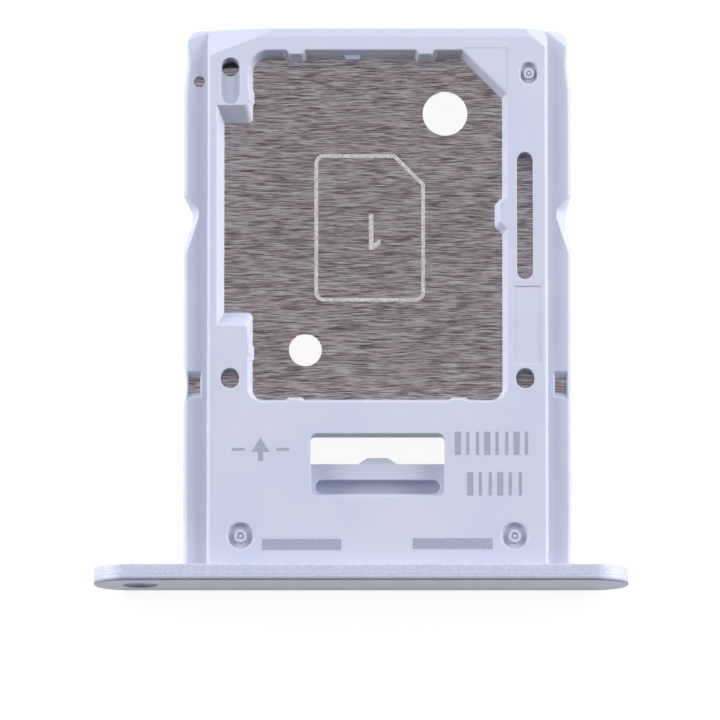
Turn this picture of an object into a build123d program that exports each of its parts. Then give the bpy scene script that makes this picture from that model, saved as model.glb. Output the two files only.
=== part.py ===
from build123d import *
import os
from math import atan, degrees

# A double-sided card tray for a phone: one plastic moulding round a steel plate.
# Millimetres. The tray is drawn with x = 0 on the frame's centre line, y = 0 on the back of the head and
# z = 0 at the middle of the plate, and is moved at the end to the bottom centre of the whole tray.
# +Y is the way the tray goes into the phone, and +Z is the side of the small card.

# Cards
card_length = 12.3
card_width = 8.8
card_corner_cut = 1.5
card_clearance = 0.08
memory_card_length = 15.0
memory_card_width = 11.0
memory_card_narrow_width = 9.7
memory_card_narrow_length = 6.4
memory_card_clearance = 0.05

# Head, the face plate that closes the slot
head_width = 19.14
head_height = 2.58
head_thickness = 0.60
head_front_chamfer = 0.04
head_back_round = 0.05
head_offset = 0.59
eject_hole_diameter = 1.17
eject_hole_from_end = 1.67
eject_hole_lip = 0.05

# Steel plate
plate_thickness = 0.20
plate_front_cover = 0.90
plate_back_cover = 0.40
plate_side_cover = 0.93
plate_round = 0.30
plate_corner_notch = (1.15, 0.95)
plate_tab_length = 1.25
plate_big_hole = 1.61
plate_small_hole = 1.18
plate_big_hole_from_back = 2.03
plate_big_hole_from_side = 2.05
plate_small_hole_from_front = 1.81
plate_small_hole_from_side = 1.89

# Upper pocket, measured at the plate
pocket_depth = 0.70
pocket_lean = 0.17
pocket_back_wall = 0.99
pocket_back_left_round = 0.57
pocket_front_left_round = 0.36
pocket_front_right_round = 0.43
rim_chamfer = 0.03

# Crush ribs of the upper pocket, which grip the card
back_rib_width = 0.82
back_rib_reach = 0.15
back_rib_places = (-2.94, 1.72)
front_rib_width = 0.70
front_rib_reach = 0.09
front_rib_places = (-2.96, 2.92)
side_rib_width = 1.33
side_rib_reach = 0.27
side_rib_from_back = 5.77
side_rib_slope = 0.25
side_rib_round = 0.26
stub_rib_width = 0.60
stub_rib_reach = 0.05
stub_rib_from_back = 1.47
stub_rib_from_front = 1.69
rib_slope = 0.12
rib_round = 0.06

# Small nub at the foot of the back wall
foot_nub_width = 0.54
foot_nub_reach = 0.09
foot_nub_height = 0.30
foot_nub_place = -0.90

# Relief beside the upper pocket, between the two stubs on its left
relief_wall = 0.59
relief_lean = 0.24
relief_back_stub = 2.40
relief_front_stub = 3.15
relief_ramp = 0.53
relief_foot = 0.10
stub_corner_round = 0.18

# Lower pocket
memory_depth = 0.75
memory_front_bar = 3.77
memory_back_wall = 0.69
memory_side_wall = 0.55
memory_round = 0.45
memory_lean = 0.06
memory_bump_reach = 0.25
memory_bump_top = 0.72
memory_bump_foot = 1.50
memory_bump_round = 0.20

# Frame and flanges
frame_back_round = 0.43
frame_edge_round = 0.12
flange_reach = 0.86
flange_above_plate = 0.22
flange_round = 0.54
flange_edge_round = 0.17
flange_root_fillet = 0.18
flange_lead_in = 0.09
flange_lead_in_start = 2.18
flange_lead_in_length = 0.85

# Window in front of the pockets, with a ledge and a blind groove in it
window_width = 4.80
window_length = 2.24
window_from_head = 2.53
window_round = 0.22
ledge_groove_length = 4.48
ledge_groove_width = 0.51
ledge_groove_from_window = 0.16
ledge_groove_depth = 0.50

# Detent notches in the flanges: depth, then distances from the head
left_notch_depth = 0.315
left_notch = (13.51, 12.90, 12.57, 11.62)
right_notch_depth = 0.18
right_notch = (13.55, 12.97, 12.35, 11.59)
notch_facet_depth = 0.53
notch_facet = (13.56, 13.01, 12.72, 11.13)
notch_round = 0.30

# Holes and recesses where the mould held the plate
rail_hole_width = 0.66
rail_hole_length = 0.73
rail_hole_from_pocket_front = 0.67
rail_slot_width = 0.57
rail_slot_length = 4.63
rail_slot_from_back = 4.55
corner_slot_width = 0.68
corner_slot_length = 1.69
corner_slot_depth = 0.20
corner_slot_from_back = 1.10
corner_hole_diameter = 0.62
corner_hole_below_plate = 0.35
flange_hole_diameter = 0.40
flange_hole_from_frame = 0.30
flange_hole_from_back = 1.90
flange_window_width = 0.39
flange_window_length = 0.47
flange_window_from_frame = 0.27
flange_window_from_pocket_front = 0.51
flange_window_ramp = 0.25
flange_window_side_lean = 0.05
flange_scallop_depth = 0.12
flange_scallop_length = 1.45

# Gate recesses, dished, each with a ring-shaped nub where the plastic was fed in
gate_diameter = 0.99
gate_depth = 0.18
gate_dish = 0.08
gate_nub_diameter = 0.45
gate_nub_height = 0.14
gate_nub_wall = 0.09
gate_nub_dimple = 0.05
gate_pip_diameter = 0.11
gate_from_head = 1.06
gate_spacing = 9.81
corner_gate_width = 0.67
corner_gate_length = 0.82
corner_gate_nub_diameter = 0.38
corner_gate_from_back = 1.67
corner_gate_from_rail = 0.15

# Panel on the right rail for a plain mould mark
panel_width = 0.98
panel_length = 2.83
panel_depth = 0.02
panel_from_pocket_front = 2.60
panel_from_rail = 0.08

# Corner lead-ins at the insertion end: where each crease starts and ends, from the frame's back corner
left_crease = ((1.82, 0.33), (0.04, 1.03))
right_crease = ((0.51, 0.34), (0.04, 0.73))
left_flange_crease = ((0.04, 0.96), (-0.57, 1.14))
right_flange_crease = ((0.05, 0.50), (-0.53, 1.06))
left_crease_slope = 0.60
right_crease_slope = 0.90
flange_crease_slope = 0.07
back_lead_in = 0.33
back_lead_in_slope = 0.20

# Worked out from the sizes above
pocket_width = card_width + 2 * card_clearance
pocket_length = card_length + 2 * card_clearance
memory_width = memory_card_width + 2 * memory_card_clearance
memory_length = memory_card_length + 2 * memory_card_clearance
frame_width = memory_width + 2 * memory_side_wall
body_width = frame_width + 2 * flange_reach
body_length = memory_front_bar + memory_length + memory_back_wall
overall_length = body_length + head_thickness
pocket_back = body_length - pocket_back_wall
pocket_front = pocket_back - pocket_length
rail_middle = (pocket_width + frame_width) / 4
plate_top = plate_thickness / 2
frame_top = plate_top + pocket_depth
frame_bottom = -plate_top - memory_depth
flange_top = plate_top + flange_above_plate
into_head = head_thickness / 2
above = 0.5


def polygon(*points):
    return make_face(Polyline(*points, close=True))


def corner(sketch, x, y):
    """The vertex of a sketch that lies nearest to a place."""
    return sketch.vertices().sort_by_distance((x, y, 0))[0]


def prism(sketch, low, high):
    return extrude(Pos(0, 0, low) * sketch, high - low)


def frustum(low_face, low, high_face, high):
    """A solid between two four-sided faces at two heights."""
    return loft(Sketch() + [Pos(0, 0, low) * low_face, Pos(0, 0, high) * high_face])


def with_chamfered_rim(space):
    """A space that ends just below the top of the frame, widened by a small chamfer up to the top."""
    return space + extrude(space.faces().sort_by(Axis.Z)[-1], rim_chamfer, taper=-45)


def span(x_low, x_high, y_low, y_high):
    return Pos((x_low + x_high) / 2, (y_low + y_high) / 2) * Rectangle(x_high - x_low, y_high - y_low)


def head():
    """A flat stadium with a chamfered front edge and the eject pin's hole near its left end."""
    face = Plane.XZ * Pos(-head_offset, 0) * SlotOverall(head_width, head_height)
    blank = extrude(face, head_thickness)
    front = blank.faces().sort_by(Axis.Y)[0]
    blank = chamfer(front.edges(), head_front_chamfer)
    back = blank.faces().sort_by(Axis.Y)[-1]
    blank = fillet(back.edges(), head_back_round)
    hole_x = -head_offset - head_width / 2 + eject_hole_from_end
    bore = extrude(Plane.XZ * Pos(hole_x, 0) * Circle(eject_hole_diameter / 2), head_thickness)
    drilled = blank - bore
    mouth = drilled.faces().sort_by(Axis.Y)[0].inner_wires()[0]
    return chamfer(mouth.edges(), eject_hole_lip)


def flanges():
    """The wide middle layer, narrower at the insertion end, with a fillet where each flank meets the head."""
    half = body_width / 2
    slim = half - flange_lead_in
    start = body_length - flange_lead_in_start
    end = start + flange_lead_in_length
    outline = polygon(
        (-half, -into_head), (half, -into_head), (half, start), (slim, end),
        (slim, body_length), (-slim, body_length), (-slim, end), (-half, start),
    )
    outline = fillet(
        [corner(outline, slim, body_length), corner(outline, -slim, body_length)], flange_round
    )
    root = half + 2 * flange_root_fillet
    outline += span(-root, root, -into_head, 0)
    outline = fillet([corner(outline, half, 0), corner(outline, -half, 0)], flange_root_fillet)
    layer = prism(outline, -flange_top, flange_top)
    levels = layer.edges().group_by(Axis.Z)
    rims = [edge for edge in levels[0] + levels[-1] if edge.center().Y > -into_head / 4]
    return fillet(rims, flange_edge_round)


def frame_layer(low, high):
    """One of the two narrower layers that stand above and below the flanges, rounded on its outer rim."""
    half = frame_width / 2
    outline = span(-half, half, -into_head, body_length)
    outline = fillet(
        [corner(outline, half, body_length), corner(outline, -half, body_length)], frame_back_round
    )
    layer = prism(outline, low, high)
    rim = layer.edges().group_by(Axis.Z)[-1 if high > 0 else 0]
    return fillet(rim, frame_edge_round)


def above_slope(side, crease, level, slope):
    """The space above a plane that falls away towards a back corner, from a crease at a given level."""
    (x1, y1), (x2, y2) = [
        (side * (frame_width / 2 - inward), body_length - back) for inward, back in crease
    ]
    along = Vector(x2 - x1, y2 - y1).normalized()
    outward = Vector(along.Y, -along.X) * -side
    tilted = Plane(
        origin=((x1 + x2) / 2, (y1 + y2) / 2, level),
        x_dir=(outward.Y, -outward.X, 0),
        z_dir=(slope * outward.X, slope * outward.Y, 1),
    )
    return tilted * Box(2 * body_width, 2, 1, align=(Align.CENTER, Align.MIN, Align.MIN))


def lead_ins(side, crease, crease_slope, flange_crease):
    """What is cut away above the frame and above one flange, so that the tray finds its slot."""
    frame_part = above_slope(side, crease, frame_top, crease_slope)
    back_crease = ((frame_width, back_lead_in), (0, back_lead_in))
    frame_part += above_slope(side, back_crease, frame_top, back_lead_in_slope)
    flange_zone = Pos(side * (frame_width / 2 + 1), body_length, flange_top) * Box(2, 4, 2)
    flange_part = above_slope(side, flange_crease, flange_top, flange_crease_slope) & flange_zone
    return frame_part + flange_part


def rib(width, reach, slope, shoulder):
    """The outline of a rib on a wall that runs along X, reaching towards +Y with rounded shoulders."""
    foot, top = width / 2 + slope, width / 2 - slope
    outline = polygon((-foot, -reach), (foot, -reach), (top, reach), (-top, reach))
    return fillet(outline.vertices().group_by(Axis.Y)[-1], shoulder)


def upper_pocket():
    """The small card's pocket above the plate, with leaning walls, one cut corner and crush ribs."""
    half = pocket_width / 2
    outline = span(-half, half, pocket_front, pocket_back)
    outline = chamfer(corner(outline, half, pocket_back), card_corner_cut)
    outline = fillet(corner(outline, -half, pocket_back), pocket_back_left_round)
    outline = fillet(corner(outline, -half, pocket_front), pocket_front_left_round)
    outline = fillet(corner(outline, half, pocket_front), pocket_front_right_round)
    for x in back_rib_places:
        outline -= Pos(x, pocket_back) * Rot(0, 0, 180) * rib(
            back_rib_width, back_rib_reach, rib_slope, rib_round
        )
    for x in front_rib_places:
        outline -= Pos(x, pocket_front) * rib(front_rib_width, front_rib_reach, rib_slope, rib_round)
    side = rib(side_rib_width, side_rib_reach, side_rib_slope, side_rib_round)
    outline -= Pos(half, pocket_back - side_rib_from_back) * Rot(0, 0, 90) * side
    stub = rib(stub_rib_width, stub_rib_reach, rib_slope, rib_round)
    for y in (pocket_back - stub_rib_from_back, pocket_front + stub_rib_from_front):
        outline -= Pos(-half, y) * Rot(0, 0, -90) * stub
    lean = degrees(atan(pocket_lean / pocket_depth))
    space = extrude(Pos(0, 0, plate_top) * outline, pocket_depth - rim_chamfer, taper=-lean)
    nub = rib(foot_nub_width, foot_nub_reach, rib_slope / 2, rib_round / 2)
    nub = prism(Rot(0, 0, 180) * nub, plate_top, plate_top + foot_nub_height)
    return with_chamfered_rim(space) - Pos(foot_nub_place, pocket_back) * nub


def relief():
    """The hollow that widens the upper pocket to the left, with a ramp at each end."""
    left = -frame_width / 2 + relief_wall
    right = -pocket_width / 2 + card_clearance
    back = pocket_back - relief_back_stub
    front = pocket_front + relief_front_stub
    foot = span(left, right, front, back)
    rim = span(left - relief_lean, right, front - relief_ramp, back + relief_ramp)
    ramped = frustum(foot, plate_top + relief_foot, rim, frame_top - rim_chamfer)
    return prism(foot, 0, plate_top + relief_foot) + with_chamfered_rim(ramped)


def off_corner(x, y, way):
    """What is taken off a stub's corner at one height, so that the corner is round."""
    r, lap = stub_corner_round, card_clearance
    sides = Polyline((x - r, y), (x - r, y - way * lap), (x + lap, y - way * lap), (x + lap, y + way * r),
                     (x, y + way * r))
    round_side = RadiusArc((x, y + way * r), (x - r, y), way * r)
    return make_face(sides + round_side)


def stub_rounding(y, way):
    """The space beside a stub's corner, which follows the leaning wall and the ramp up to the rim."""
    wall = -pocket_width / 2
    levels = [(plate_top, 0, 0),
              (plate_top + relief_foot, pocket_lean * relief_foot / pocket_depth, 0),
              (frame_top - rim_chamfer, pocket_lean, relief_ramp)]
    faces = [Pos(0, 0, z) * off_corner(wall - lean, y + way * run, way) for z, lean, run in levels]
    return loft(Sketch() + faces[:2]) + with_chamfered_rim(loft(Sketch() + faces[1:]))


def upper_space():
    """The upper pocket and its relief, with the stub corners between them rounded."""
    space = upper_pocket() + relief()
    space += stub_rounding(pocket_back - relief_back_stub, 1)
    return space + stub_rounding(pocket_front + relief_front_stub, -1)


def lower_pocket():
    """The larger card's pocket under the plate, narrowed at its back left, with one bump in front."""
    half = memory_width / 2
    back = memory_front_bar + memory_length
    narrow = memory_width - memory_card_narrow_width
    step = back - memory_card_narrow_length
    outline = polygon(
        (-half, memory_front_bar), (half, memory_front_bar), (half, back), (-half + narrow, back),
        (-half + narrow, step + narrow), (-half, step),
    )
    outline = fillet(outline.vertices().group_by(Axis.Y)[0], memory_round)
    outline = fillet(outline.vertices().group_by(Axis.Y)[-1], memory_round)
    bump = polygon(
        (-memory_bump_foot / 2, memory_front_bar - above), (memory_bump_foot / 2, memory_front_bar - above),
        (memory_bump_foot / 2, memory_front_bar),
        (memory_bump_top / 2, memory_front_bar + memory_bump_reach),
        (-memory_bump_top / 2, memory_front_bar + memory_bump_reach),
        (-memory_bump_foot / 2, memory_front_bar),
    )
    outline -= fillet(bump.vertices().group_by(Axis.Y)[-1], memory_bump_round)
    lean = degrees(atan(memory_lean / memory_depth))
    return extrude(Pos(0, 0, -plate_top) * outline, -memory_depth, taper=-lean)


def window():
    """The window from above down to the ledge, and the blind groove in the ledge."""
    opening = Pos(0, window_from_head + window_length / 2) * RectangleRounded(
        window_width, window_length, window_round
    )
    groove_y = window_from_head + ledge_groove_from_window + ledge_groove_width / 2
    groove = Pos(0, groove_y) * SlotOverall(ledge_groove_length, ledge_groove_width)
    return prism(opening, plate_top, frame_top + above) + prism(
        groove, plate_top - ledge_groove_depth, frame_top
    )


def window_gap():
    """The part of the window that goes right through, over the front end of the lower pocket."""
    back = window_from_head + window_length
    return prism(
        span(-window_width / 2, window_width / 2, memory_front_bar, back), -plate_top, plate_top + 0.1
    )


def notch(side, depth, marks, facet_depth, facet_marks):
    """A rounded detent notch at mid height that widens to a facet above and below."""
    edge = body_width / 2
    out = edge + above

    def outline(reach, places):
        start, deep, shallow, end = places
        bottom = side * (edge - reach)
        face = polygon(
            (side * out, start), (side * edge, start), (bottom, deep),
            (bottom, shallow), (side * edge, end), (side * out, end),
        )
        return fillet([corner(face, bottom, deep), corner(face, bottom, shallow)], notch_round)

    middle = outline(depth, marks)
    facet = outline(facet_depth, facet_marks)
    upper = loft(Sketch() + [middle, Pos(0, 0, flange_top) * facet])
    return upper + mirror(upper, Plane.XY)


def plate_windows():
    """The windows in both flanges that show a tab of the plate, and the scallop in the left flank."""
    y = pocket_front + flange_window_from_pocket_front
    cuts = []
    for side in (-1, 1):
        x = side * (frame_width / 2 + flange_window_from_frame + flange_window_width / 2)
        foot = Pos(x, y) * Rectangle(flange_window_width, flange_window_length)
        rim = Pos(x, y) * Rectangle(
            flange_window_width + 2 * flange_window_side_lean, flange_window_length + 2 * flange_window_ramp
        )
        cuts.append(frustum(foot, plate_top, rim, flange_top))
    radius = flange_scallop_length**2 / (8 * flange_scallop_depth) + flange_scallop_depth / 2
    scallop = Pos(-body_width / 2 - radius + flange_scallop_depth, y) * Circle(radius)
    cuts.append(prism(scallop, -flange_top, flange_top))
    return cuts


def gate(x, y, outline, nub_diameter):
    """A dished recess with a ring-shaped nub and a pip left standing in its middle."""
    floor = frame_top - gate_depth
    dish = extrude(Pos(0, 0, frame_top) * outline, -gate_depth, taper=degrees(atan(gate_dish / gate_depth)))
    top = floor + gate_nub_height
    nub = prism(Circle(nub_diameter / 2), floor, top)
    nub -= prism(Circle(nub_diameter / 2 - gate_nub_wall), top - gate_nub_dimple, top)
    nub += prism(Circle(gate_pip_diameter / 2), floor, top)
    return Pos(x, y) * (dish - nub)


def holding_marks():
    """The holes, slots and recesses that the mould leaves on the upper side."""
    front_y = pocket_front + rail_hole_from_pocket_front
    oval = Rot(0, 0, 90) * SlotOverall(rail_hole_length, rail_hole_width)
    cuts = [prism(Pos(side * rail_middle, front_y) * oval, 0, frame_top + above) for side in (-1, 1)]
    slot_y = body_length - rail_slot_from_back - rail_slot_length / 2
    slot = Pos(rail_middle, slot_y) * Rot(0, 0, 90) * SlotOverall(rail_slot_length, rail_slot_width)
    cuts.append(prism(slot, 0, frame_top + above))

    shallow_y = body_length - corner_slot_from_back - corner_slot_length / 2
    shallow = Pos(-rail_middle, shallow_y) * Rot(0, 0, 90) * SlotOverall(corner_slot_length, corner_slot_width)
    cuts.append(prism(shallow, frame_top - corner_slot_depth, frame_top + above))
    hole_y = body_length - corner_slot_from_back - corner_slot_width / 2
    deep = Pos(-rail_middle, hole_y) * Circle(corner_hole_diameter / 2)
    cuts.append(prism(deep, -plate_top - corner_hole_below_plate, frame_top))

    flange_x = -frame_width / 2 - flange_hole_from_frame
    small = Pos(flange_x, body_length - flange_hole_from_back) * Circle(flange_hole_diameter / 2)
    cuts.append(prism(small, 0, flange_top + above))
    return cuts


def gates_and_panel():
    round_gate = Circle(gate_diameter / 2)
    cuts = [gate(side * gate_spacing / 2, gate_from_head, round_gate, gate_nub_diameter) for side in (-1, 1)]
    oval_gate = Rot(0, 0, 90) * SlotOverall(corner_gate_length, corner_gate_width)
    corner_x, corner_y = rail_middle + corner_gate_from_rail, body_length - corner_gate_from_back
    cuts.append(gate(corner_x, corner_y, oval_gate, corner_gate_nub_diameter))
    panel = Rectangle(panel_width, panel_length)
    panel = Pos(rail_middle + panel_from_rail, pocket_front + panel_from_pocket_front) * panel
    cuts.append(prism(panel, frame_top - panel_depth, frame_top + above))
    return cuts


def plate_outline():
    """The stamped sheet's outline: a rectangle with tabs under the flange windows and one notched corner."""
    half = body_width / 2 - plate_side_cover
    front = pocket_front - plate_front_cover
    back = body_length - plate_back_cover
    outline = span(-half, half, front, back)
    outline = fillet(outline.vertices(), plate_round)
    notch_width, notch_length = plate_corner_notch
    outline -= span(-half - above, -half + notch_width, back - notch_length, back + above)
    tab_reach = frame_width / 2 + flange_window_from_frame + flange_window_width + card_clearance
    tab_y = pocket_front + flange_window_from_pocket_front
    outline += Pos(0, tab_y) * Rectangle(2 * tab_reach, plate_tab_length)
    hole_tab_reach = frame_width / 2 + flange_hole_from_frame + flange_hole_diameter
    hole_tab_y = body_length - flange_hole_from_back
    outline += span(-hole_tab_reach, 0, hole_tab_y - flange_hole_diameter, hole_tab_y + flange_hole_diameter)
    return outline


def steel_plate():
    """The stamped sheet with its two round holes."""
    big = Pos(pocket_width / 2 - plate_big_hole_from_side, pocket_back - plate_big_hole_from_back)
    small = Pos(-pocket_width / 2 + plate_small_hole_from_side, pocket_front + plate_small_hole_from_front)
    outline = plate_outline() - big * Circle(plate_big_hole / 2) - small * Circle(plate_small_hole / 2)
    return prism(outline, -plate_top, plate_top)


def tray_frame():
    """The moulding: head, flanges and the two frame layers, less its pockets, holes and the plate's room."""
    body = flanges() + frame_layer(0, frame_top) + frame_layer(frame_bottom, 0)
    for cut in (
        lead_ins(-1, left_crease, left_crease_slope, left_flange_crease),
        lead_ins(1, right_crease, right_crease_slope, right_flange_crease),
    ):
        body -= cut
        body -= mirror(cut, Plane.XY)
    body = body + head()
    body -= [upper_space(), lower_pocket(), window(), window_gap()]
    body -= notch(-1, left_notch_depth, left_notch, notch_facet_depth, notch_facet)
    body -= notch(1, right_notch_depth, right_notch, notch_facet_depth, notch_facet)
    body -= plate_windows() + holding_marks() + gates_and_panel()
    return body - prism(plate_outline(), -plate_top, plate_top)


to_origin = Pos(head_offset, head_thickness - overall_length / 2, head_height / 2)

os.makedirs("parts", exist_ok=True)
for name, piece in {"tray_frame": tray_frame(), "steel_plate": steel_plate()}.items():
    export_step(to_origin * piece, f"parts/{name}.step")
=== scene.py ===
# %% [markdown]
# A card tray for a phone, dressed for a studio picture.
#
# The tray is two things: a pale lavender plastic moulding, and a sheet of brushed steel that the plastic was
# moulded around. Their shapes come ready made as a frame of solids. What is left to do here is what a
# finisher does: the texture of the mould, the lacquer on the face plate, the brushing of the steel, the laser
# mark and the pad print, and then the light that shows them.

# %% Load the frame
from math import cos, degrees, pi, radians, sin

import bmesh
import bpy
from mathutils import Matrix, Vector


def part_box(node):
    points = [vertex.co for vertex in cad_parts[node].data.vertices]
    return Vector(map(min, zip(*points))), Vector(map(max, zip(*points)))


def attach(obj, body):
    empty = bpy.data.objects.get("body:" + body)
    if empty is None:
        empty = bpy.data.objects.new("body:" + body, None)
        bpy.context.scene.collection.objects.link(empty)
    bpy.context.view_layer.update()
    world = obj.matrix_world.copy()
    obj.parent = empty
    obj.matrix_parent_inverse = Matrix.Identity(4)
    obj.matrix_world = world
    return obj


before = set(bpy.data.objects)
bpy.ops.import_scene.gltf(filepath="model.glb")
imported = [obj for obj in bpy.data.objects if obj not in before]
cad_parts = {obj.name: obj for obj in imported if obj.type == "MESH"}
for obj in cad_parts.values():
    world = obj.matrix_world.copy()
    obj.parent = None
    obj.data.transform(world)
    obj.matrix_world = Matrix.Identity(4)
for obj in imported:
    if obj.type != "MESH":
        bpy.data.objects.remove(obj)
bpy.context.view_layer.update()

MM = 0.001

# %% [markdown]
# Colours are picked as sRGB, but a renderer adds up light, so every hex value goes
# through one function that turns it to linear light.


# %% Colour helper
def colour(hex_code):
    """An sRGB hex code such as "C8CDE0" as linear red, green, blue and alpha."""
    parts = [int(hex_code[i:i + 2], 16) / 255 for i in (0, 2, 4)]
    return tuple(p / 12.92 if p <= 0.04045 else ((p + 0.055) / 1.055) ** 2.4 for p in parts) + (1.0,)


print("C8CDE0 is", [round(part, 3) for part in colour("C8CDE0")])

# %% [markdown]
# A material is a small graph. One helper adds a node, sets it and wires it, so that each material below reads
# as a list of what it is made of. An input takes a number, a colour, another node, or one of its sockets. Of
# a whole node it takes the first output that is switched on, which is the one that the node's settings ask
# for. An input is called by its name, or by its number where several share a name: the two colours of a Mix
# node are numbers 6 and 7.


# %% Node helper
def add(tree, kind, inputs=None, stops=(), **settings):
    """Add a node, set its properties and its colour stops, and set or link its inputs."""
    node = tree.nodes.new(kind)
    for name, value in settings.items():
        setattr(node, name, value)
    for i, (position, hex_code) in enumerate(stops):
        elements = node.color_ramp.elements
        element = elements[i] if i < len(elements) else elements.new(position)
        element.position = position
        element.color = colour(hex_code)
    for name, value in (inputs or {}).items():
        if isinstance(value, bpy.types.Node):
            value = next(output for output in value.outputs if output.enabled)
        if isinstance(value, bpy.types.NodeSocket):
            tree.links.new(value, node.inputs[name])
        else:
            node.inputs[name].default_value = value
    return node


def new_material(name):
    """An empty material and its node tree."""
    material = bpy.data.materials.new(name)
    material.use_nodes = True
    material.node_tree.nodes.clear()
    return material, material.node_tree


# %% [markdown]
# Every pattern has a real size, so the materials measure in millimetres. The solids sit at the origin of the
# shared frame with their place in their vertices, so the Object coordinate is a place on the tray, in metres.


# %% A ruler for patterns
def millimetres(tree):
    """The place on the object, in millimetres of the shared frame."""
    place = add(tree, "ShaderNodeTexCoord").outputs["Object"]
    return add(tree, "ShaderNodeVectorMath", {0: place, "Scale": 1 / MM}, operation="SCALE")


def line_across(tree, along, place, half_width):
    """A value that is 1 on a line across the tray and falls to 0 on both sides of it."""
    offset = add(tree, "ShaderNodeMath", {0: along, 1: place}, operation="SUBTRACT")
    distance = add(tree, "ShaderNodeMath", {0: offset}, operation="ABSOLUTE")
    return add(tree, "ShaderNodeMapRange", {"Value": distance, "From Min": half_width, "From Max": 0.0})


HEAD_THICKNESS = 0.60
HEAD_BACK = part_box("tray_frame")[0].y / MM + HEAD_THICKNESS
print("the back of the head is at y =", round(HEAD_BACK, 2), "mm")

# %% [markdown]
# The moulding is a polycarbonate blend, the usual plastic for such trays because it stays stiff when it is
# only half a millimetre thick. It bends light a little more than most plastics do, with an IOR of 1.58. The
# mould was spark eroded, which leaves a fine even grain and a satin sheen. No moulded edge is sharp, since
# the steel of the mould was cut with a small radius, and that radius is what draws a bright line along every
# rim in soft light. The solids have the large rounds, and the shader's bevel adds the smallest. Light also
# goes a tenth of a millimetre into pale plastic before it comes out again, which softens the walls of the
# pockets.
#
# The head is the only part that is seen when the tray is in the phone, so it is sprayed with a metallic
# lacquer: fine flakes under a clear film, which give a faint glitter. Towards the front edge its colour
# is mixed with dark grey. That is painted shade of the rounded edge as it turns from the light. The two
# halves of the mould meet in a fine line round the rim. All of it is one moulding, so one material holds it,
# and the place of the head decides where the lacquer is.

# %% Sizes of the moulding's finish, in millimetres
GRAIN_PER_MM = 16.0  # eroded grain is 0.03 mm wide, too fine to show, so it is drawn 0.06 mm wide
FLAKES_PER_MM = 22.0  # flakes are 0.02 mm wide, too fine to show, so they are drawn 0.045 mm wide
CLOUDS_PER_MM = 0.35  # where the melt flowed, the colour changes a little over about 3 mm
GRAIN_DEPTH = 0.01
EDGE_ROUND = 0.06
LIGHT_GOES_IN = 0.12
SEAM_FROM_BACK = 0.33
SEAM_HALF_WIDTH = 0.035
SEAM_DEPTH = 0.01
# where the painted shade along the head's front edge begins, and where it is full
EDGE_SHADE_STARTS_FROM_BACK = 0.42
EDGE_SHADE_FULL_FROM_BACK = 0.57
FACE_FROM_BACK = 0.59
LACQUER_FADE = 0.02
METAL_IN_LACQUER = 0.1  # a share of the surface, as the next one is
CLEAR_FILM = 0.05
# the value printed is where the painted shade along the head's front edge begins
print("the lacquer starts to thin", EDGE_SHADE_STARTS_FROM_BACK, "mm in front of the back of the head")


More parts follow.
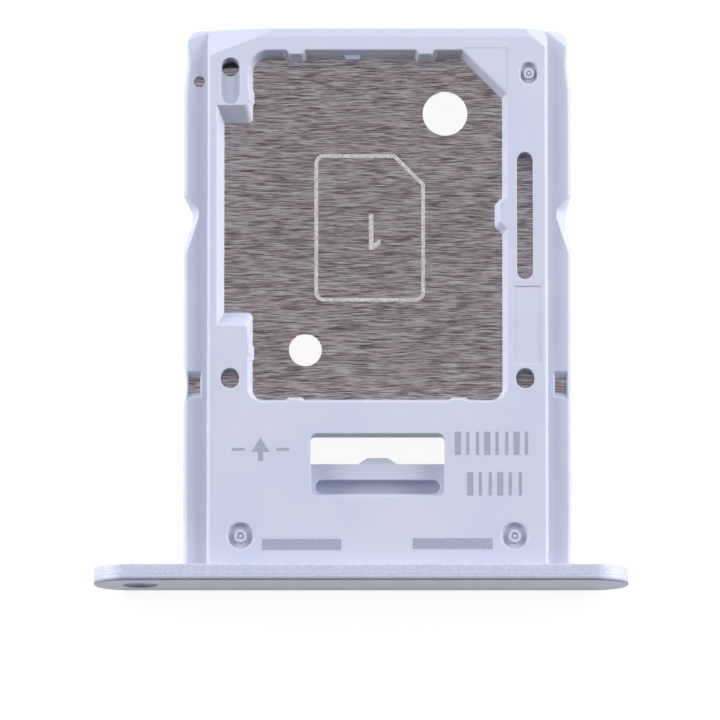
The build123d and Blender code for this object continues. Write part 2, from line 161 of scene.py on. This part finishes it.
# %% Moulded polycarbonate with a lacquered head
def moulded_polycarbonate():
    material, tree = new_material("moulded_polycarbonate")
    place = millimetres(tree)
    along = add(tree, "ShaderNodeSeparateXYZ", {"Vector": place}).outputs["Y"]

    clouds = add(tree, "ShaderNodeTexNoise", {"Vector": place, "Scale": CLOUDS_PER_MM, "Detail": 3.0})
    plastic = add(tree, "ShaderNodeValToRGB", {"Fac": clouds}, stops=((0.35, "B9C0D3"), (0.65, "BFC3D4")))

    flakes = add(tree, "ShaderNodeTexVoronoi", {"Vector": place, "Scale": FLAKES_PER_MM}).outputs["Color"]
    glint = add(tree, "ShaderNodeSeparateColor", {"Color": flakes})
    paint = add(tree, "ShaderNodeValToRGB", {"Fac": glint}, stops=((0.0, "B3B7CC"), (1.0, "C5C9DC")))
    # Painted shade: towards the front edge the lacquer's colour is mixed with dark grey 7E8197, which stands
    # in for the shade of the rounded edge as it turns from the light.
    edge_shade_ramp = add(tree, "ShaderNodeMapRange", {
        "Value": along, "From Min": HEAD_BACK - EDGE_SHADE_STARTS_FROM_BACK, "From Max": HEAD_BACK - EDGE_SHADE_FULL_FROM_BACK,
    }, interpolation_type="SMOOTHSTEP")
    face = HEAD_BACK - FACE_FROM_BACK
    behind_face = add(tree, "ShaderNodeMath", {0: along, 1: face}, operation="GREATER_THAN")
    painted_edge_shade = add(tree, "ShaderNodeMath", {0: edge_shade_ramp, 1: behind_face}, operation="MULTIPLY")
    # painted shade: dark grey mixed into the lacquer along the head's front edge
    paint = add(tree, "ShaderNodeMix", {"Factor": painted_edge_shade, 6: paint, 7: colour("7E8197")}, data_type="RGBA")

    lacquer = add(tree, "ShaderNodeMapRange", {
        "Value": along, "From Min": HEAD_BACK + LACQUER_FADE, "From Max": HEAD_BACK,
    })
    base = add(tree, "ShaderNodeMix", {"Factor": lacquer, 6: plastic, 7: paint}, data_type="RGBA")
    metal = add(tree, "ShaderNodeMath", {0: lacquer, 1: METAL_IN_LACQUER}, operation="MULTIPLY")
    film = add(tree, "ShaderNodeMath", {0: lacquer, 1: CLEAR_FILM}, operation="MULTIPLY")

    grain = add(tree, "ShaderNodeTexNoise", {"Vector": place, "Scale": GRAIN_PER_MM, "Detail": 2.0})
    rough = add(tree, "ShaderNodeMapRange", {"Value": grain, "To Min": 0.44, "To Max": 0.58})
    edge = add(tree, "ShaderNodeBevel", {"Radius": EDGE_ROUND * MM}, samples=6)
    seam = add(tree, "ShaderNodeBump", {
        "Height": line_across(tree, along, HEAD_BACK - SEAM_FROM_BACK, SEAM_HALF_WIDTH),
        "Strength": 0.6, "Distance": SEAM_DEPTH * MM, "Normal": edge,
    })
    surface = add(tree, "ShaderNodeBump", {
        "Height": grain, "Strength": 0.10, "Distance": GRAIN_DEPTH * MM, "Normal": seam,
    })

    shader = add(tree, "ShaderNodeBsdfPrincipled", {
        "Base Color": base, "Metallic": metal, "Roughness": rough, "IOR": 1.58, "Normal": surface,
        "Coat Weight": film, "Coat Roughness": 0.12, "Subsurface Weight": 0.25,
        "Subsurface Radius": (1.0, 1.0, 1.1), "Subsurface Scale": LIGHT_GOES_IN * MM,
    })
    add(tree, "ShaderNodeOutputMaterial", {"Surface": shader})
    return material


moulding = moulded_polycarbonate()
print(moulding.name, "has", len(moulding.node_tree.nodes), "nodes")

# %% [markdown]
# The plate is stainless steel strip. It is brushed with an abrasive belt before it is stamped, which draws
# fine scratches across the tray: each is about half a millimetre long and a few hundredths wide, and many
# shine where they face the light. Stretched noise has that shape. The pale stops of its colour are painted
# highlights on the scratches, and the darkest stop is painted shade beside them. A second, slower noise
# bends the lines a little, because a belt never runs true. The scratches spread a reflection only across
# themselves, which is what anisotropy means.

# %% Brushed stainless steel
SCRATCHES_ALONG_PER_MM = 1.6  # each is about 0.6 mm long
SCRATCHES_ACROSS_PER_MM = 30.0  # and 0.03 mm wide
SCRATCH_DEPTH = 0.01
WAVES_PER_MM = (0.5, 1.6, 1.0)
WAVE_HEIGHT = 0.04


def brushed_stainless_steel():
    material, tree = new_material("brushed_stainless_steel")
    place = millimetres(tree)
    slow = add(tree, "ShaderNodeVectorMath", {0: place, 1: WAVES_PER_MM}, operation="MULTIPLY")
    waves = add(tree, "ShaderNodeTexNoise", {"Vector": slow, "Scale": 1.0, "Detail": 1.0})
    shift = add(tree, "ShaderNodeMath", {0: waves, 1: 2 * WAVE_HEIGHT}, operation="MULTIPLY")
    sideways = add(tree, "ShaderNodeCombineXYZ", {"Y": shift})
    bent = add(tree, "ShaderNodeVectorMath", {0: place, 1: sideways}, operation="ADD")
    stretched = add(tree, "ShaderNodeVectorMath", {
        0: bent, 1: (SCRATCHES_ALONG_PER_MM, SCRATCHES_ACROSS_PER_MM, 1.0),
    }, operation="MULTIPLY")
    scratches = add(tree, "ShaderNodeTexNoise", {
        "Vector": stretched, "Scale": 1.0, "Detail": 3.0, "Roughness": 0.6,
    })
    # Painted highlight and shade: the pale stops stand in for scratches that catch the light, and the darkest
    # stop stands in for the shade beside them.
    steel = add(tree, "ShaderNodeValToRGB", {"Fac": scratches}, stops=(
        (0.38, "8B7F83"), (0.49, "CDBFC6"), (0.55, "E8D9E1"), (0.62, "FFFAFD"),
    ))
    surface = add(tree, "ShaderNodeBump", {
        "Height": scratches, "Strength": 0.20, "Distance": SCRATCH_DEPTH * MM,
    })
    shader = add(tree, "ShaderNodeBsdfPrincipled", {
        "Base Color": steel, "Metallic": 1.0, "Roughness": 0.32, "Normal": surface,
        "Anisotropic": 0.8, "Tangent": add(tree, "ShaderNodeCombineXYZ", {"Y": 1.0}),
    })
    add(tree, "ShaderNodeOutputMaterial", {"Surface": shader})
    return material


plate = brushed_stainless_steel()
print(plate.name, "has", len(plate.node_tree.nodes), "nodes")

# %% [markdown]
# The two solids are dressed by giving each its one material. Nothing else about them changes.

# %% Dress the solids
for node_name, material in (("tray_frame", moulding), ("steel_plate", plate)):
    tray_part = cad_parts[node_name]
    tray_part.data.materials.clear()
    tray_part.data.materials.append(material)
    print(node_name, "is", material.name)

# %% [markdown]
# A laser marks the plate after it is brushed. It melts the steel into a fine matt frost, which throws light
# every way, so the mark is paler than the mirror round it and looks much the same from every side.

# %% Laser-frosted steel
FROST_PER_MM = 14.0  # frost is finer than 0.03 mm, too fine to show, so it is drawn 0.07 mm wide


def laser_frosted_steel():
    material, tree = new_material("laser_frosted_steel")
    place = millimetres(tree)
    frost = add(tree, "ShaderNodeTexNoise", {"Vector": place, "Scale": FROST_PER_MM, "Detail": 2.0})
    grey = add(tree, "ShaderNodeValToRGB", {"Fac": frost}, stops=((0.35, "A9A3A3"), (0.65, "D1CCCB")))
    shader = add(tree, "ShaderNodeBsdfPrincipled", {"Base Color": grey, "Metallic": 0.4, "Roughness": 0.6})
    add(tree, "ShaderNodeOutputMaterial", {"Surface": shader})
    return material


frost_steel = laser_frosted_steel()
print(frost_steel.name, "has", len(frost_steel.node_tree.nodes), "nodes")

# %% [markdown]
# The frame is printed with a silicone pad, which picks up a thin grey ink and presses it on the plastic. The
# film is thin enough to let a little of the plastic's blue through, and it dries matt with a faint speckle.

# %% Pad print ink
SPECKLES_PER_MM = 9.0  # the pad leaves specks about 0.1 mm wide


def pad_print_ink():
    material, tree = new_material("pad_print_ink")
    place = millimetres(tree)
    speckles = add(tree, "ShaderNodeTexNoise", {"Vector": place, "Scale": SPECKLES_PER_MM, "Detail": 3.0})
    grey = add(tree, "ShaderNodeValToRGB", {"Fac": speckles}, stops=((0.35, "9095A8"), (0.65, "989DB0")))
    shader = add(tree, "ShaderNodeBsdfPrincipled", {"Base Color": grey, "Roughness": 0.6})
    add(tree, "ShaderNodeOutputMaterial", {"Surface": shader})
    return material


ink = pad_print_ink()
print(ink.name, "has", len(ink.node_tree.nodes), "nodes")

# %% [markdown]
# Marks are the thinnest pieces of all: ink and laser frost only a few thousandths of a millimetre high. They
# are measured from the plate's middle, which is the frame's centre line, and from the back of the head. Both
# come from the solids and not from numbers of their own.

# %% Where marks lie
PLATE_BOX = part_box("steel_plate")
CENTRE_LINE = (PLATE_BOX[0].x + PLATE_BOX[1].x) / 2 / MM
PLATE_TOP = PLATE_BOX[1].z / MM
POCKET_DEPTH = 0.70
FRAME_TOP = PLATE_TOP + POCKET_DEPTH
MARK_HEIGHT = 0.004
SUNK = 0.002  # how far a mark reaches into what it lies on, so that no two faces coincide
print("the centre line is at x =", round(CENTRE_LINE, 2), "mm")
print("the plate's top is at z =", round(PLATE_TOP, 2), "mm and the frame's at", round(FRAME_TOP, 2), "mm")

# %% [markdown]
# A mark starts as an outline, drawn flat and in millimetres. It is lifted into a thin closed body: a ring of
# points below and one above, side walls between them, and a face at the bottom and the top. A drawn line is
# the band between two outlines, so its bottom and top are strips from one outline to the other.


# %% Flat marks
def turned(points, x, y, quarter_turns=0):
    """An outline turned about its own origin and moved to a place on the tray."""
    angle = quarter_turns * pi / 2
    return [(x + px * cos(angle) - py * sin(angle), y + px * sin(angle) + py * cos(angle))
            for px, py in points]


def bar(width, length):
    right, top = width / 2, length / 2
    return [(-right, -top), (right, -top), (right, top), (-right, top)]


def flat_marks(name, loops, level, material, height=MARK_HEIGHT):
    """Thin flat bodies. Each loop is one outline, or an outer and an inner one with as many points."""
    shape = bmesh.new()
    for loop in loops:
        rings = loop if isinstance(loop, tuple) else (loop,)
        layers = []
        for z in (level - SUNK, level + height):
            layers.append([
                [shape.verts.new(((CENTRE_LINE + x) * MM, (HEAD_BACK + y) * MM, z * MM)) for x, y in ring]
                for ring in rings
            ])
        for low, high in zip(*layers):
            for i in range(len(low)):
                shape.faces.new((low[i - 1], low[i], high[i], high[i - 1]))
        for layer in layers:
            if len(layer) == 1:
                shape.faces.new(layer[0])
            else:
                outer, inner = layer
                for i in range(len(outer)):
                    shape.faces.new((outer[i - 1], outer[i], inner[i], inner[i - 1]))
    bmesh.ops.recalc_face_normals(shape, faces=shape.faces)
    mesh = bpy.data.meshes.new(name)
    shape.to_mesh(mesh)
    shape.free()
    mesh.materials.append(material)
    piece = bpy.data.objects.new(name, mesh)
    bpy.context.scene.collection.objects.link(piece)
    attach(piece, "root")
    print(name, "has", len(mesh.polygons), "faces")


# %% [markdown]
# The laser draws the outline of the card and a figure 1, which say which way the first card lies. Growing the
# outline by half a line and shrinking it by as much gives the two edges of the drawn line. A grown outline
# needs a slightly larger cut, or the line would be thicker there. The figure is upside down here, because
# whoever loads the card looks from the other end.

# %% Laser mark on the plate
CARD_MARK = {"left": -2.20, "right": 1.64, "front": 9.75, "back": 14.99}
CARD_MARK_CUT = 1.04
CARD_MARK_ROUND = 0.27
LASER_LINE = 0.135
FIGURE_PLACE = (-0.23, 12.21)
FIGURE_HEIGHT = 1.31
FIGURE_LINE = 1.2 * LASER_LINE


def card_outline(grow, steps=6):
    """A card's outline with three round corners and one cut, grown outward by a distance."""
    left, right = CARD_MARK["left"] - grow, CARD_MARK["right"] + grow
    front, back = CARD_MARK["front"] - grow, CARD_MARK["back"] + grow
    r = CARD_MARK_ROUND + grow
    cut = CARD_MARK_CUT + grow * (2 - 2 ** 0.5)
    points = [(right, back - cut), (right - cut, back)]
    for x, y, start in ((left + r, back - r, 90), (left + r, front + r, 180), (right - r, front + r, 270)):
        for step in range(steps + 1):
            angle = radians(start + 90 * step / steps)
            points.append((x + r * cos(angle), y + r * sin(angle)))
    return points


def figure_one(height, line):
    """A plain figure 1: an upright stroke with a slanting flag to the left of its top."""
    top = height / 2
    flag_tip = -0.26 * height
    tip_top, tip_bottom = top - 0.17 * height, top - 0.32 * height
    flag_root = top - 0.18 * height
    return [
        (line / 2, -top), (line / 2, top), (-line / 3, top), (flag_tip, tip_top), (flag_tip, tip_bottom),
        (-line / 2, flag_root), (-line / 2, -top),
    ]


flat_marks("laser_mark", [
    (card_outline(LASER_LINE / 2), card_outline(-LASER_LINE / 2)),
    turned(figure_one(FIGURE_HEIGHT, FIGURE_LINE), *FIGURE_PLACE, quarter_turns=2),
], PLATE_TOP, frost_steel)

# %% [markdown]
# The print on the frame stays plain too. An arrow with a short dash on each side says which end goes in, two
# long bars lie in front of the window, and two rows of upright bars stand to the right of it.

# %% Pad print on the frame
INK_LINE = 0.11
LONG_BARS = ((-2.71, 0.76, 2.83, 0.40), (2.68, 0.79, 2.86, 0.39))  # x, y, width, length
ARROW_PLACE = (-4.19, 4.20)
ARROW_SIZE = 0.84
ARROW_LINE = 1.6 * INK_LINE
DASH_LENGTH = 0.55 * ARROW_SIZE
DASH_FROM_ARROW = 0.95 * ARROW_SIZE
BAR_ROWS = ((4.10, 4.42, 2.80, 8), (4.21, 2.95, 2.15, 6))  # x, y, width, number of bars
ROW_HEIGHT = 0.84


def arrow(size, line):
    """An arrow that points towards +Y."""
    top, wing = size / 2, 0.40 * size
    neck = top - wing - line
    return [
        (-line / 2, -top), (line / 2, -top), (line / 2, neck), (wing, neck), (0, top), (-wing, neck),
        (-line / 2, neck),
    ]


printed = [turned(bar(width, length), x, y) for x, y, width, length in LONG_BARS]
printed.append(turned(arrow(ARROW_SIZE, ARROW_LINE), *ARROW_PLACE))
for side in (-1, 1):
    dash_x = ARROW_PLACE[0] + side * DASH_FROM_ARROW
    printed.append(turned(bar(DASH_LENGTH, INK_LINE), dash_x, ARROW_PLACE[1]))
for x, y, width, count in BAR_ROWS:
    pitch = width / count
    for i in range(count):
        thickness = INK_LINE * (1 if i % 3 else 2)
        printed.append(turned(bar(thickness, ROW_HEIGHT), x + (i + 0.5 - count / 2) * pitch, y))
flat_marks("pad_print", printed, FRAME_TOP, ink)

# %% [markdown]
# Where two steel blocks of the mould meet, the plastic creeps a little way into the joint. That leaves a fine
# witness line, here round the block that shapes the pocket's back right corner. It is a ridge of the plastic
# itself, kept very low, because a tall one would catch too much of the soft light.

# %% Witness lines of the mould
BLOCK_LEFT, BLOCK_RIGHT = 3.03, 4.66
BLOCK_FRONT, BLOCK_BACK = 17.02, 18.82
WITNESS_LINE = 0.02

flat_marks("witness_lines", [
    turned(bar(WITNESS_LINE, BLOCK_BACK - BLOCK_FRONT), BLOCK_RIGHT, (BLOCK_FRONT + BLOCK_BACK) / 2),
    turned(bar(BLOCK_RIGHT - BLOCK_LEFT, WITNESS_LINE), (BLOCK_LEFT + BLOCK_RIGHT) / 2, BLOCK_BACK),
], FRAME_TOP, moulding, height=MARK_HEIGHT / 4)

# %% [markdown]
# The camera looks down on the tray from about nine degrees in front of straight above, from far away, so the
# sides stay parallel. A long lens far off gives that.

# %% Camera
VIEW_TILT = radians(9.3)
VIEW_DISTANCE = 450 * MM
LENS = 628.0
AIM = Vector((-0.04, -2.04, 2.09)) * MM

camera = bpy.data.objects.new("camera", bpy.data.cameras.new("camera"))
camera.data.lens = LENS
camera.data.clip_start = 10 * MM
camera.location = AIM + VIEW_DISTANCE * Vector((0, -sin(VIEW_TILT), cos(VIEW_TILT)))
camera.rotation_euler = (VIEW_TILT, 0, 0)
bpy.context.scene.collection.objects.link(camera)
bpy.context.scene.camera = camera
print("the camera sees", round(VIEW_DISTANCE / MM * camera.data.sensor_width / LENS, 1), "mm across")

# %% [markdown]
# Small satin things are lit with large soft lamps close by. Here they stand low on both sides, so that the
# walls of the pockets and every rounded rim catch them. A lamp's power spreads over its face, so it is worked
# out from how bright the face is to look.

# %% Soft lamps
LAMP_DISTANCE = 0.26
LAMP_WIDTH = 0.26
LAMP_HEIGHT = 0.24
LAMPS = {  # direction from the tray, and radiance of the lamp's face
    "right_lamp": ((1.0, 0.36, 0.46), 5.3),
    "left_lamp": ((-1.0, 0.34, 0.44), 4.7),
}

for name, (direction, radiance) in LAMPS.items():
    data = bpy.data.lights.new(name, "AREA")
    data.shape = "RECTANGLE"
    data.size, data.size_y = LAMP_WIDTH, LAMP_HEIGHT
    data.energy = radiance * pi * LAMP_WIDTH * LAMP_HEIGHT
    lamp = bpy.data.objects.new(name, data)
    lamp.location = Vector(direction).normalized() * LAMP_DISTANCE
    lamp.rotation_euler = (-lamp.location).to_track_quat("-Z", "Y").to_euler()
    bpy.context.scene.collection.objects.link(lamp)
    print(name, "is", round(degrees(Vector((0, 0, 1)).angle(lamp.location))), "degrees from straight above")

# %% [markdown]
# The sky is a dim smooth tent: that is what the steel mirrors, and why it looks grey between white walls. It
# is darker in front, so that the walls which face the viewer fall into shade.

# %% Sky
SKY_FRONT = 0.12
SKY_BACK = 0.57
DARKEST_AT = -0.8  # how far a direction points towards the back, from -1 to 1
BRIGHTEST_AT = 0.4

world = bpy.data.worlds.new("studio")
world.use_nodes = True
world.node_tree.nodes.clear()
looking = add(world.node_tree, "ShaderNodeTexCoord").outputs["Generated"]
towards_back = add(world.node_tree, "ShaderNodeSeparateXYZ", {"Vector": looking}).outputs["Y"]
sky = add(world.node_tree, "ShaderNodeMapRange", {
    "Value": towards_back, "From Min": DARKEST_AT, "From Max": BRIGHTEST_AT,
    "To Min": SKY_FRONT, "To Max": SKY_BACK,
})
background = add(world.node_tree, "ShaderNodeBackground", {"Strength": sky})
add(world.node_tree, "ShaderNodeOutputWorld", {"Surface": background})
bpy.context.scene.world = world
print("the sky goes from", SKY_FRONT, "in front to", SKY_BACK, "behind")

# %% [markdown]
# The tray lies on matt paper on a light table. The paper glows where the eye sees it, and where metal and
# gloss mirror it, and takes a little lamp light on top, which is what lets it keep a faint shadow. For the
# soft light that it throws back on the tray it is plain pale paper, so the glow doesn't light the tray.

# %% Floor of studio paper
FLOOR_SIZE = 0.6
PAPER_GLOW = 0.88
PAPER_OVER_GLOW = "767676"
PLAIN_PAPER = "F2F2F2"


def studio_paper():
    material, tree = new_material("studio_paper")
    path = add(tree, "ShaderNodeLightPath").outputs
    seen = path["Is Camera Ray"]
    for also in ("Is Glossy Ray", "Is Transmission Ray"):
        seen = add(tree, "ShaderNodeMath", {0: seen, 1: path[also]}, operation="MAXIMUM")
    glow = add(tree, "ShaderNodeEmission", {"Strength": PAPER_GLOW})
    shaded = add(tree, "ShaderNodeBsdfDiffuse", {"Color": colour(PAPER_OVER_GLOW)})
    lit = add(tree, "ShaderNodeAddShader", {0: glow, 1: shaded})
    plain = add(tree, "ShaderNodeBsdfDiffuse", {"Color": colour(PLAIN_PAPER)})
    both = add(tree, "ShaderNodeMixShader", {"Fac": seen, 1: plain, 2: lit})
    add(tree, "ShaderNodeOutputMaterial", {"Surface": both})
    return material


half = FLOOR_SIZE / 2
corners = [(-half, -half, 0), (half, -half, 0), (half, half, 0), (-half, half, 0)]
floor_mesh = bpy.data.meshes.new("floor")
floor_mesh.from_pydata(corners, [], [(0, 1, 2, 3)])
floor_mesh.materials.append(studio_paper())
floor = bpy.data.objects.new("floor", floor_mesh)
bpy.context.scene.collection.objects.link(floor)
print("the floor is", FLOOR_SIZE, "m wide")

# %% [markdown]
# The last step leaves colours as they are written.

# %% Finish
bpy.context.scene.view_settings.view_transform = "Standard"
